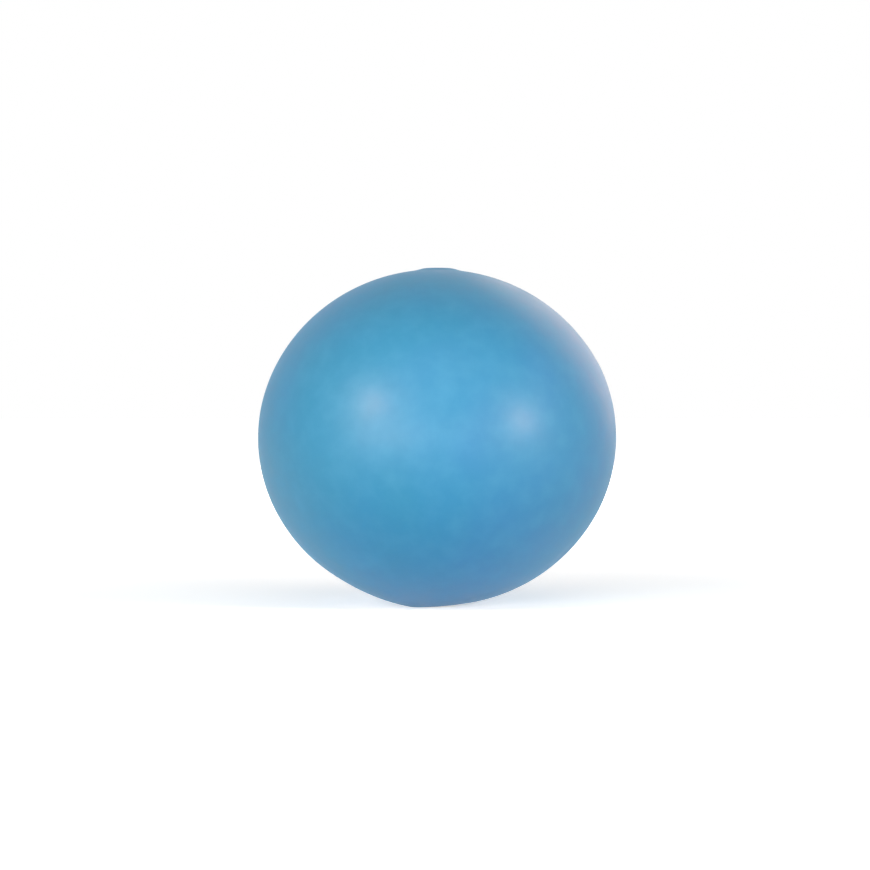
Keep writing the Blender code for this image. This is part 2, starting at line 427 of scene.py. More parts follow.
@dataclass(frozen=True)
class CastVinyl(Finish):
    """Plasticised PVC, cast in a heated mould and drawn out soft.

    It gives the eye an even satin blue with a broad dull shine, a little clearer shine on top from the
    plasticiser, slow drifts of the pigment, a painted tint of light and shade that turns the blue periwinkle
    up and towards +X and teal down and towards -X, a faint orange peel from the mould's blasted wall, and a
    paler, duller ring where the foot has rubbed.
    """

    name: str = "cast satin vinyl"
    ior: float = 1.53
    roughness: Ramp = Ramp(0.3, 0.7, 0.5, 0.6)
    blue: str = "#2D90C0"
    teal: str = "#2790B9"
    periwinkle: str = "#338AC3"
    milky: str = "#50A5CE"
    rubbed: str = "#7BB4D4"
    drift: Pattern = Pattern(42 * MM, 2.0)
    # Painted light and shade: the blue leans to periwinkle towards +X and up, and to teal towards -X and
    # down, by so much a metre, for the tint that the lamps and reflections give those sides.
    painted_light_lean: tuple[float, float, float] = (3.0, 0.0, 3.5)
    # The pigment's random drift is real. Together with the painted lean, it sets how far the blue turns
    # periwinkle or teal.
    to_periwinkle: Ramp = Ramp(0.616, 0.816, 0.0, 0.75)
    to_teal: Ramp = Ramp(0.616, 0.416, 0.0, 0.75)
    cloud: Pattern = Pattern(4 * MM, 4.0, roughness=0.55)
    bloom: Ramp = Ramp(0.4, 0.75, 0.0, 0.3)
    peel: Pattern = Pattern(1.7 * MM, 1.0)
    peel_height: float = 0.014 * MM
    # Real blasted walls have a grain near 0.1 mm. It is drawn at 0.4 mm, the finest that shows.
    grain: Pattern = Pattern(0.4 * MM, 2.0)
    grain_height: float = 0.003 * MM
    rub_height: Ramp = Ramp(0.5 * MM, 0.0, 0.0, 1.0)
    rub_patches: Ramp = Ramp(0.3, 0.6, 0.35, 1.0)
    rubbed_roughness: float = 0.66
    # The plasticiser's film is thin and uneven, so its shine fades towards the limb.
    coat: Ramp = Ramp(0.4, 0.85, 0.24, 0.13)
    coat_roughness: float = 0.3
    soft_share: float = 0.12
    soft_depth: float = 0.8 * MM
    soft_reach: tuple[float, float, float] = (0.4, 0.8, 1.0)

    def dress(self, tree: bpy.types.NodeTree) -> None:
        """Fill the tree.

        Args:
            tree: the material's empty tree.
        """
        place = add_node(tree, "ShaderNodeTexCoord").outputs["Object"]
        wander = add_node(tree, "ShaderNodeTexNoise", self.drift.inputs(place)).outputs["Fac"]
        # Painted light and shade: a lean to periwinkle up and towards +X, and to teal down and towards -X.
        painted_lean = add_node(
            tree, "ShaderNodeVectorMath", {0: place, 1: self.painted_light_lean}, operation="DOT_PRODUCT"
        ).outputs["Value"]
        # The pigment's random drift is real. The lean added to it is painted light and shade.
        drift = add_node(tree, "ShaderNodeMath", {0: wander, 1: painted_lean}, operation="ADD").outputs[0]
        cloud = add_node(tree, "ShaderNodeTexNoise", self.cloud.inputs(place)).outputs["Fac"]
        bloom = add_node(tree, "ShaderNodeMapRange", self.bloom.inputs(cloud)).outputs["Result"]
        patchy = add_node(tree, "ShaderNodeMapRange", self.rub_patches.inputs(cloud)).outputs["Result"]
        dull = add_node(tree, "ShaderNodeMapRange", self.roughness.inputs(cloud)).outputs["Result"]
        height = add_node(tree, "ShaderNodeSeparateXYZ", {"Vector": place}).outputs["Z"]
        facing = add_node(tree, "ShaderNodeLayerWeight").outputs["Facing"]
        cool, green, near_floor, coat = (
            add_node(
                tree, "ShaderNodeMapRange", ramp.inputs(value), interpolation_type="SMOOTHSTEP"
            ).outputs["Result"]
            for ramp, value in (
                (self.to_periwinkle, drift),
                (self.to_teal, drift),
                (self.rub_height, height),
                (self.coat, facing),
            )
        )
        rub = add_node(tree, "ShaderNodeMath", {0: near_floor, 1: patchy}, operation="MULTIPLY").outputs[0]
        colour: object = linear(self.blue)
        for share, hue in (
            (cool, self.periwinkle),
            (green, self.teal),
            (bloom, self.milky),
            (rub, self.rubbed),
        ):
            colour = add_node(
                tree, "ShaderNodeMix", {0: share, MIX_A: colour, MIX_B: linear(hue)}, data_type="RGBA"
            ).outputs[MIX_OUT]
        roughness = add_node(tree, "ShaderNodeMix", {0: rub, 2: dull, 3: self.rubbed_roughness}).outputs[0]
        peel = add_node(tree, "ShaderNodeTexNoise", self.peel.inputs(place)).outputs["Fac"]
        grain = add_node(tree, "ShaderNodeTexNoise", self.grain.inputs(place)).outputs["Fac"]
        peeled = add_node(tree, "ShaderNodeBump", {"Height": peel, "Distance": self.peel_height}).outputs[0]
        normal = add_node(
            tree, "ShaderNodeBump", {"Height": grain, "Distance": self.grain_height, "Normal": peeled}
        ).outputs[0]
        shader = add_node(
            tree,
            "ShaderNodeBsdfPrincipled",
            {
                "Base Color": colour,
                "Roughness": roughness,
                "IOR": self.ior,
                "Normal": normal,
                "Coat Weight": coat,
                "Coat Roughness": self.coat_roughness,
                "Subsurface Weight": self.soft_share,
                "Subsurface Scale": self.soft_depth,
                "Subsurface Radius": self.soft_reach,
            },
        ).outputs["BSDF"]
        add_node(tree, "ShaderNodeOutputMaterial", {"Surface": shader})


@dataclass(frozen=True)
class MouldedPolyethylene(Finish):
    """White polyethylene, injection moulded.

    It gives the eye a warm white that light goes a little way into, a waxy satin shine, faint flow marks that
    run along the piece, and a fine spark grain from the tool.
    """

    name: str = "moulded white polyethylene"
    ior: float = 1.51
    roughness: Ramp = Ramp(0.3, 0.7, 0.34, 0.46)
    white: str = "#E9E8E2"
    shade: str = "#DAD8CE"
    flow: Pattern = Pattern(1.6 * MM, 3.0, distortion=0.6)
    flow_stretch: float = 0.22
    shading: Ramp = Ramp(0.35, 0.7, 0.0, 0.55)
    grain: Pattern = Pattern(0.15 * MM, 2.0)
    grain_height: float = 0.0015 * MM
    soft_share: float = 0.25
    soft_depth: float = 0.9 * MM
    soft_reach: tuple[float, float, float] = (1.0, 0.95, 0.85)

    def dress(self, tree: bpy.types.NodeTree) -> None:
        """Fill the tree.

        Args:
            tree: the material's empty tree.
        """
        place = add_node(tree, "ShaderNodeTexCoord").outputs["Object"]
        along = add_node(
            tree, "ShaderNodeMapping", {"Vector": place, "Scale": (1.0, 1.0, self.flow_stretch)}
        ).outputs["Vector"]
        flow = add_node(tree, "ShaderNodeTexNoise", self.flow.inputs(along)).outputs["Fac"]
        share = add_node(tree, "ShaderNodeMapRange", self.shading.inputs(flow)).outputs["Result"]
        colour = add_node(
            tree,
            "ShaderNodeMix",
            {0: share, MIX_A: linear(self.white), MIX_B: linear(self.shade)},
            data_type="RGBA",
        ).outputs[MIX_OUT]
        roughness = add_node(tree, "ShaderNodeMapRange", self.roughness.inputs(flow)).outputs["Result"]
        grain = add_node(tree, "ShaderNodeTexNoise", self.grain.inputs(place)).outputs["Fac"]
        normal = add_node(tree, "ShaderNodeBump", {"Height": grain, "Distance": self.grain_height}).outputs[0]
        shader = add_node(
            tree,
            "ShaderNodeBsdfPrincipled",
            {
                "Base Color": colour,
                "Roughness": roughness,
                "IOR": self.ior,
                "Normal": normal,
                "Subsurface Weight": self.soft_share,
                "Subsurface Scale": self.soft_depth,
                "Subsurface Radius": self.soft_reach,
            },
        ).outputs["BSDF"]
        add_node(tree, "ShaderNodeOutputMaterial", {"Surface": shader})


@dataclass(frozen=True)
class ReedFilm(Finish):
    """Amber polyester film, slit from a drawn sheet.

    It gives the eye a clear honey colour that light partly goes through, a sharp shine, and fine lines that
    the drawing leaves along the strip.
    """

    name: str = "amber polyester film"
    ior: float = 1.57
    roughness: Ramp = Ramp(0.3, 0.7, 0.14, 0.26)
    amber: str = "#D8B467"
    honey: str = "#C99A48"
    lines: Pattern = Pattern(0.35 * MM, 3.0)
    line_stretch: float = 0.03
    line_height: float = 0.0008 * MM
    streaks: Ramp = Ramp(0.35, 0.7, 0.0, 0.6)
    clear_share: float = 0.35

    def dress(self, tree: bpy.types.NodeTree) -> None:
        """Fill the tree.

        Args:
            tree: the material's empty tree.
        """
        place = add_node(tree, "ShaderNodeTexCoord").outputs["Object"]
        along = add_node(
            tree, "ShaderNodeMapping", {"Vector": place, "Scale": (1.0, 1.0, self.line_stretch)}
        ).outputs["Vector"]
        lines = add_node(tree, "ShaderNodeTexNoise", self.lines.inputs(along)).outputs["Fac"]
        share = add_node(tree, "ShaderNodeMapRange", self.streaks.inputs(lines)).outputs["Result"]
        colour = add_node(
            tree,
            "ShaderNodeMix",
            {0: share, MIX_A: linear(self.amber), MIX_B: linear(self.honey)},
            data_type="RGBA",
        ).outputs[MIX_OUT]
        roughness = add_node(tree, "ShaderNodeMapRange", self.roughness.inputs(lines)).outputs["Result"]
        normal = add_node(tree, "ShaderNodeBump", {"Height": lines, "Distance": self.line_height}).outputs[0]
        shader = add_node(
            tree,
            "ShaderNodeBsdfPrincipled",
            {
                "Base Color": colour,
                "Roughness": roughness,
                "IOR": self.ior,
                "Normal": normal,
                "Transmission Weight": self.clear_share,
            },
        ).outputs["BSDF"]
        add_node(tree, "ShaderNodeOutputMaterial", {"Surface": shader})


@dataclass(frozen=True)
class Lump:
    """A broad swell or flat on the soft ball, seen from its centre."""

    azimuth: float
    elevation: float
    spread: float
    height: float

    def lift(self, direction: Vector) -> float:
        """Give the height that the lump adds.

        Args:
            direction: where to, from the ball's centre.

        Returns:
            The height.
        """
        level = math.cos(self.elevation)
        middle = Vector(
            (level * math.cos(self.azimuth), level * math.sin(self.azimuth), math.sin(self.elevation))
        )
        away = middle.angle(direction) / self.spread
        return self.height * math.exp(-away * away)


@dataclass
class BallShell:
    """The hollow vinyl ball, with its crown pip, its trimmed foot, and the neck that grips the squeaker."""

    # The skin lies a little inside the solid at the equator.
    half_width: float = cad_box[1].x - 0.02 * MM
    crown_height: float = cad_box[1].z
    centre_height: float = MIDDLE_HEIGHT
    round_half: float = 32.84 * MM
    wall: float = 2.8 * MM

    pip_offset: float = 0.2 * MM
    pip_land: float = 2.2 * MM
    pip_reach: float = 4.9 * MM

    mouth_radius: float = 4.0 * MM
    foot_land: float = 5.4 * MM
    # The mouth was trimmed by hand, a little higher on the +X side.
    trim_slope: float = 0.066
    trim_start: float = -4.9 * MM
    boss_flare: float = 0.19
    boss_spread_left: float = 14.6 * MM
    boss_spread_right: float = 2.6 * MM

    lip: float = 1.5 * MM
    seat_radius: float = 6.3 * MM
    seat_top: float = 3.3 * MM
    neck_radius: float = 4.7 * MM
    collar_top: float = 8.0 * MM
    collar_radius: float = 8.9 * MM
    collar_taper: float = 0.8 * MM
    lip_fillet: float = 0.4 * MM
    collar_fillet: float = 0.8 * MM

    lumps: tuple[Lump, ...] = (
        Lump(math.radians(180), math.radians(30), math.radians(24), -0.14 * MM),
        Lump(math.radians(0), math.radians(23), math.radians(10), 0.1 * MM),
        Lump(math.radians(0), math.radians(-38), math.radians(22), -0.03 * MM),
        Lump(math.radians(180), math.radians(-50), math.radians(14), 0.08 * MM),
    )
    waviness: float = 0.03 * MM
    wave_size: float = 17 * MM
    fade: float = 9 * MM

    sides: int = 192
    arc_step: float = math.radians(2.0)
    land_steps: int = 4
    blend_steps: int = 12
    fillet_steps: int = 5

    def round_height(self, radius: float) -> float:
        """Give the height of the round part over the ball's centre, at a radius."""
        return self.round_half * math.sqrt(1 - (radius / self.half_width) ** 2)

    def round_slope(self, radius: float) -> float:
        """Give the round part's fall for each unit of radius, on its upper half."""
        return -((self.round_half / self.half_width) ** 2) * radius / self.round_height(radius)

    def trim_height(self, x: float) -> float:
        """Give how high the trimmed foot is over the floor, at a place along X."""
        return max(0.0, self.trim_slope * (x - self.trim_start))

    def crown(self, azimuth: float) -> list[Vector]:
        """Run the section from the crown's middle down the pip to the round part.

        Args:
            azimuth: the section's direction.

        Returns:
            The points, from the axis out.
        """
        shift = self.pip_offset * math.cos(azimuth)
        land = self.pip_land + shift
        reach = self.pip_reach + shift
        flat = [Vector((land * i / self.land_steps, self.crown_height)) for i in range(self.land_steps)]
        end = Vector((reach, self.centre_height + self.round_height(reach)))
        return flat + hermite(
            Vector((land, self.crown_height)), 0.0, end, self.round_slope(reach), self.blend_steps
        )

    def foot(self, azimuth: float) -> list[Vector]:
        """Run the section from the round part down to the foot's land.

        Args:
            azimuth: the section's direction.

        Returns:
            The points, from the round part in to the land's outer edge.
        """
        cosine = math.cos(azimuth)
        left = smoothstep(1.0, -1.0, cosine)
        spread = self.boss_spread_right + (self.boss_spread_left - self.boss_spread_right) * left
        edge = Vector((self.foot_land, self.trim_height(self.foot_land * cosine)))
        reach = self.foot_land + spread
        end = Vector((reach, self.centre_height - self.round_height(reach)))
        return hermite(edge, self.boss_flare, end, -self.round_slope(reach), self.blend_steps)[::-1]

    def outside(self, azimuth: float) -> list[Vector]:
        """Run the section down the ball's outside.

        Args:
            azimuth: the section's direction.

        Returns:
            The points, from the crown's middle to the foot's land.
        """
        crown, foot = self.crown(azimuth), self.foot(azimuth)
        start = math.asin(crown[-1].x / self.half_width)
        end = math.pi - math.asin(foot[0].x / self.half_width)
        steps = 2 * math.ceil(math.pi / 2 / self.arc_step)
        angles = [start + (end - start) * i / steps for i in range(1, steps)]
        arc = [
            Vector((self.half_width * math.sin(a), self.centre_height + self.round_half * math.cos(a)))
            for a in angles
        ]
        return crown + [self.softened(point, azimuth, crown[-1].x, foot[0].x) for point in arc] + foot

    def softened(self, point: Vector, azimuth: float, pip_edge: float, boss_edge: float) -> Vector:
        """Move a point of the outside by the soft ball's swells and flats.

        Args:
            point: its radius and height on the true round.
            azimuth: its section's direction.
            pip_edge: the radius that the pip reaches in that section.
            boss_edge: the radius that the foot's boss reaches.

        Returns:
            Its radius and height.
        """
        place = Vector(
            (point.x * math.cos(azimuth), point.x * math.sin(azimuth), point.y - self.centre_height)
        )
        lift = sum(lump.lift(place) for lump in self.lumps)
        lift += self.waviness * noise.noise(place / self.wave_size)
        edge = pip_edge if point.y > self.centre_height else boss_edge
        lift *= smoothstep(edge, edge + self.fade, point.x)
        length = math.hypot(point.x, point.y - self.centre_height)
        return Vector(
            (
                point.x * (1 + lift / length),
                self.centre_height + (point.y - self.centre_height) * (1 + lift / length),
            )
        )

    def inside(self, azimuth: float) -> list[Vector]:
        """Run the section from the foot's land up the neck, round the collar and up the inner wall.

        Args:
            azimuth: the section's direction.

        Returns:
            The points, from the land in to the hollow's top.
        """
        cosine = math.cos(azimuth)
        half_width, half_height = self.half_width - self.wall, self.round_half - self.wall
        root = self.centre_height - half_height * math.sqrt(1 - (self.collar_radius / half_width) ** 2)
        start = math.asin(self.collar_radius / half_width)
        steps = math.ceil((math.pi - start) / (2 * self.arc_step))
        angles = [start + (math.pi - start) * i / steps for i in range(1, steps)]
        wall = [
            Vector((half_width * math.sin(a), self.centre_height - half_height * math.cos(a))) for a in angles
        ]
        land = self.trim_height(self.foot_land * cosine)
        mouth = self.trim_height(self.mouth_radius * cosine)
        neck = rounded(
            [
                (self.foot_land, land, 0.0),
                (self.mouth_radius, mouth, self.lip_fillet),
                (self.mouth_radius, self.lip, self.lip_fillet),
                (self.seat_radius, self.lip, self.lip_fillet),
                (self.seat_radius, self.seat_top, self.lip_fillet),
                (self.neck_radius, self.seat_top, self.lip_fillet),
                (self.neck_radius, self.collar_top, self.collar_fillet),
                (self.collar_radius - self.collar_taper, self.collar_top, self.collar_fillet),
                (self.collar_radius, root, self.collar_fillet),
                (wall[0].x, wall[0].y, 0.0),
            ],
            self.fillet_steps,
        )
        return neck[1:] + wall[1:] + [Vector((0.0, self.centre_height + half_height))]

    def build(self) -> None:
        """Build the shell and dress it."""
        shell = revolve("ball_skin", lambda azimuth: self.outside(azimuth) + self.inside(azimuth), self.sides)
        fit(shell, CastVinyl(), Body.BALL, "ball_shell")


@dataclass
class SqueakerHousing:
    """The squeaker's body: a nozzle in the neck's mouth, a flange in its seat and a barrel into the ball."""

    nozzle_end: float = 0.5 * MM
    nozzle_radius: float = 3.7 * MM
    rim_width: float = 0.55 * MM
    dish_depth: float = 0.3 * MM
    outlet_radius: float = 0.5 * MM
    outlet_boss: float = 1.15 * MM
    flange_base: float = 1.8 * MM
    flange_top: float = 3.0 * MM
    flange_radius: float = 6.0 * MM
    barrel_radius: float = 4.4 * MM
    barrel_top: float = 14.0 * MM
    bore_radius: float = 3.4 * MM
    bore_floor: float = 4.0 * MM
    bead_top: float = 12.6 * MM
    bead_width: float = 0.8 * MM
    bead_proud: float = 0.3 * MM
    fillet: float = 0.2 * MM
    gate_place: tuple[float, float] = (-1.9 * MM, 0.9 * MM)
    gate_radius: float = 0.32 * MM
    gate_height: float = 0.14 * MM
    gate_flat: float = 0.6
    # A point this near the height of the dish's face is in that face.
    level_with: float = 0.001 * MM
    dish_rings: int = 14
    fillet_steps: int = 4
    sides: int = 120

    def profile(self) -> list[Vector]:
        """Run the section round the housing's wall.

        Returns:
            The loop of points.
        """
        dish_edge = self.nozzle_radius - self.rim_width
        dish = self.nozzle_end + self.dish_depth
        dish_floor = dish_edge - self.dish_depth
        ring_step = (self.outlet_boss - dish_floor) / self.dish_rings
        rings = [(dish_floor + ring_step * i, dish, 0.0) for i in range(1, self.dish_rings)]
        return rounded(
            [
                (self.bore_radius, self.barrel_top, self.fillet),
                (self.barrel_radius, self.barrel_top, self.fillet),
                (self.barrel_radius, self.bead_top, 0.0),
                (self.barrel_radius + self.bead_proud, self.bead_top - self.bead_width / 2, self.fillet),
                (self.barrel_radius, self.bead_top - self.bead_width, 0.0),
                (self.barrel_radius, self.flange_top, self.fillet),
                (self.flange_radius, self.flange_top, self.fillet),
                (self.flange_radius, self.flange_base, self.fillet),
                (self.nozzle_radius, self.flange_base, self.fillet),
                (self.nozzle_radius, self.nozzle_end, self.fillet),
                (dish_edge, self.nozzle_end, self.fillet / 2),
                (dish_floor, dish, self.fillet / 2),
                *rings,
                (self.outlet_boss, dish, 0.0),
                (self.outlet_boss - self.dish_depth / 2, dish - self.dish_depth / 2, self.fillet / 2),
                (self.outlet_radius, dish - self.dish_depth / 2, self.fillet / 2),
                (self.outlet_radius, self.bore_floor, self.fillet),
                (self.bore_radius, self.bore_floor, 0.0),
            ],
            self.fillet_steps,
            closed=True,
        )

    def build(self) -> None:
        """Build the housing, with the stub that its gate left on the nozzle's face, and dress it."""
        profile = self.profile()
        housing = revolve("squeaker_body", lambda azimuth: profile, self.sides, closed=True)
        gate = Vector(self.gate_place)
        dish = self.nozzle_end + self.dish_depth
        for vertex in housing.data.vertices:
            if abs(vertex.co.z - dish) < self.level_with:
                away = (vertex.co.xy - gate).length / self.gate_radius
                vertex.co.z -= self.gate_height * smoothstep(1.0, self.gate_flat, away)
        fit(housing, MouldedPolyethylene(), Body.BALL, "squeaker_housing")


@dataclass
class SqueakerCap:
    """The cap that snaps over the barrel's inner end, with two crossed slots for the air."""

    inner_radius: float = 4.7 * MM
    outer_radius: float = 6.0 * MM
    skirt_end: float = 11.4 * MM
    plate_base: float = 14.3 * MM
    plate_top: float = 15.3 * MM
    groove_low: float = 11.5 * MM
    groove_high: float = 12.9 * MM
    groove_depth: float = 0.3 * MM
    edge_fillet: float = 0.4 * MM
    fillet: float = 0.2 * MM
    slot_reach: float = 3.0 * MM
    slot_half: float = 0.6 * MM
    slot_chamfer: float = 0.15 * MM
    fillet_steps: int = 4
    sides: int = 120

    def slots(self) -> bpy.types.Object:
        """Build the cross that cuts the slots, wider at both faces of the plate.

        Returns:
            The cutter.
        """
        levels = [
            (self.plate_base - CUT_PAST, self.slot_chamfer + CUT_PAST),
            (self.plate_base + self.slot_chamfer, 0.0),
            (self.plate_top - self.slot_chamfer, 0.0),
            (self.plate_top + CUT_PAST, self.slot_chamfer + CUT_PAST),
        ]
        outlines = []
        for height, grown in levels:
            far, near = self.slot_reach + grown, self.slot_half + grown
            corner = [(far, -near), (far, near), (near, near)]
            outline = []
            for quarter in range(4):
                turn = quarter * math.pi / 2
                cosine, sine = math.cos(turn), math.sin(turn)
                outline += [Vector((x * cosine - y * sine, x * sine + y * cosine, height)) for x, y in corner]
            outlines.append(outline)
        return extrude("slot_cutter", outlines)

    def build(self) -> None:
        """Build the cap and dress it."""
        middle = (self.groove_low + self.groove_high) / 2
        profile = rounded(
            [
                (0.0, self.plate_top, 0.0),
                (self.outer_radius, self.plate_top, self.edge_fillet),
                (self.outer_radius, self.skirt_end, self.fillet),
                (self.inner_radius, self.skirt_end, self.fillet / 2),
                (self.inner_radius, self.groove_low, 0.0),
                (self.inner_radius + self.groove_depth, middle, self.fillet),
                (self.inner_radius, self.groove_high, 0.0),
                (self.inner_radius, self.plate_base, self.fillet),
                (0.0, self.plate_base, 0.0),
            ],
            self.fillet_steps,
        )
        cap = revolve("squeaker_end_cap", lambda azimuth: profile, self.sides)
        cut(cap, self.slots())
        fit(cap, MouldedPolyethylene(), Body.BALL, "squeaker_cap")


@dataclass
class ReedPack:
    """The bed and the wedge that hold the reed between them in the barrel, and the reed itself."""

    radius: float = 3.1 * MM
    face: float = 0.425 * MM
    base: float = 4.3 * MM
    bed_top: float = 14.0 * MM
    clamp_height: float = 7.0 * MM
    groove_half: float = 0.4 * MM
    groove_depth: float = 1.5 * MM
    groove_top: float = 11.8 * MM
    groove_steps: int = 12
    edge: float = 0.12 * MM
    arc_steps: int = 48

    reed_thickness: float = 0.25 * MM
    reed_half_width: float = 2.2 * MM
    reed_tail: float = 2.4 * MM
    reed_free: float = 5.6 * MM
    reed_curl: float = 0.4 * MM
    tip_radius: float = 0.7 * MM
    reed_rows: int = 64
    reed_columns: int = 12

    def half_round(self, name: str, top: float, side: Side) -> bpy.types.Object:
        """Build a half round block that lies on one side of the reed.

        Args:
            name: the block's name.
            top: the height of its upper end.
            side: the side that it lies on.

        Returns:
            The block.
        """
        dip = math.asin(self.face / self.radius)
        angles = [dip + (math.pi - 2 * dip) * i / self.arc_steps for i in range(self.arc_steps + 1)]
        outline = [(self.radius * math.cos(a), side.value * self.radius * math.sin(a)) for a in angles]
        block = extrude(name, [[Vector((x, y, height)) for x, y in outline] for height in (self.base, top)])
        bevel(block, self.edge)
        apply_modifiers(block)
        return block

    def groove(self) -> bpy.types.Object:
        """Build the tongue that cuts the bed's air groove, with a round bottom and a ramped upper end.

        Returns:
            The cutter.
        """
        half = self.groove_half
        bottom = self.face + self.groove_depth
        arc = [math.pi * i / self.groove_steps for i in range(self.groove_steps + 1)]
        outlines = []
        for height, depth in (
            (self.base - CUT_PAST, bottom),
            (self.groove_top - self.groove_depth / 2, bottom),
            (self.groove_top, self.face + half / 2),
        ):
            outline = [
                Vector((half * math.cos(a), -(depth - half / 2) - half / 2 * math.sin(a), height))
                for a in arc
            ]
            outline += [Vector((x, -self.face + CUT_PAST, height)) for x in (-half, half)]
            outlines.append(outline)
        return extrude("groove_cutter", outlines)

    def build_blocks(self) -> None:
        """Build the bed and the wedge and dress them."""
        bed = self.half_round("reed_bed_block", self.bed_top, Side.BED)
        cut(bed, self.groove())
        fit(bed, MouldedPolyethylene(), Body.BALL, "reed_bed")
        wedge = self.half_round("reed_wedge_block", self.clamp_height, Side.WEDGE)
        fit(wedge, MouldedPolyethylene(), Body.BALL, "reed_wedge")

    def half_width_at(self, along: float) -> float:
        """Give the reed's half width, drawn in at its two tip corners.

        Args:
            along: the distance past the clamp.

        Returns:
            The half width.
        """
        left = self.reed_free - along
        if left >= self.tip_radius:
            return self.reed_half_width
        dip = self.tip_radius - math.sqrt(max(self.tip_radius**2 - (self.tip_radius - left) ** 2, 0.0))
        return self.reed_half_width - dip

    def build_reed(self) -> None:
        """Build the reed, clamped at its tail and curled a little off the bed at its tip, and dress it."""
        shape = bmesh.new()
        rows = []
        for row in range(self.reed_rows + 1):
            share = math.sin(math.pi / 2 * row / self.reed_rows)
            along = (self.reed_tail + self.reed_free) * share - self.reed_tail
            curl = self.reed_curl * (max(along, 0.0) / self.reed_free) ** 2
            half = self.half_width_at(along)
            rows.append(
                [
                    shape.verts.new(
                        (half * (2 * column / self.reed_columns - 1), curl, self.clamp_height + along)
                    )
                    for column in range(self.reed_columns + 1)
                ]
            )
        for low, high in zip(rows, rows[1:]):
            for column in range(self.reed_columns):
                shape.faces.new((low[column], low[column + 1], high[column + 1], high[column]))
        reed = piece_of("reed_strip", shape)
        thickness = reed.modifiers.new("thickness", "SOLIDIFY")
        thickness.thickness = self.reed_thickness
        thickness.offset = 0.0
        apply_modifiers(reed)
        fit(reed, ReedFilm(), Body.REED, "reed")


@dataclass(frozen=True)
class Lamp:
    """A soft studio lamp."""

    name: str
    direction: tuple[float, float, float]
    distance: float
    width: float
    height: float
    power: float
    colour: str
    # Whether it shows in the gloss.
    mirrored: bool = True
    # What it points at, from the ball's middle.
    aim: tuple[float, float, float] = (0.0, 0.0, 0.0)
    spread: float = math.pi

    def build(self, target: Vector) -> None:
        """Build the lamp.

        Args:
            target: the ball's middle.
        """
        light = bpy.data.lights.new(self.name, "AREA")
        light.shape = "ELLIPSE"
        light.size = self.width
        light.size_y = self.height
        light.energy = self.power
        light.spread = self.spread
        light.color = linear(self.colour)[:3]
        lamp = bpy.data.objects.new(self.name, light)
        bpy.context.scene.collection.objects.link(lamp)
        away = Vector(self.direction).normalized()
        lamp.location = target + Vector(self.aim) + away * self.distance
        lamp.rotation_euler = away.to_track_quat("Z", "Y").to_euler()
        lamp.visible_camera = False
        lamp.visible_glossy = self.mirrored


@dataclass(frozen=True)
class Spot(Lamp):
    """A small softbox with a grid, close to the ball. Its narrow beam needs little power."""

    spread: float = math.radians(20)


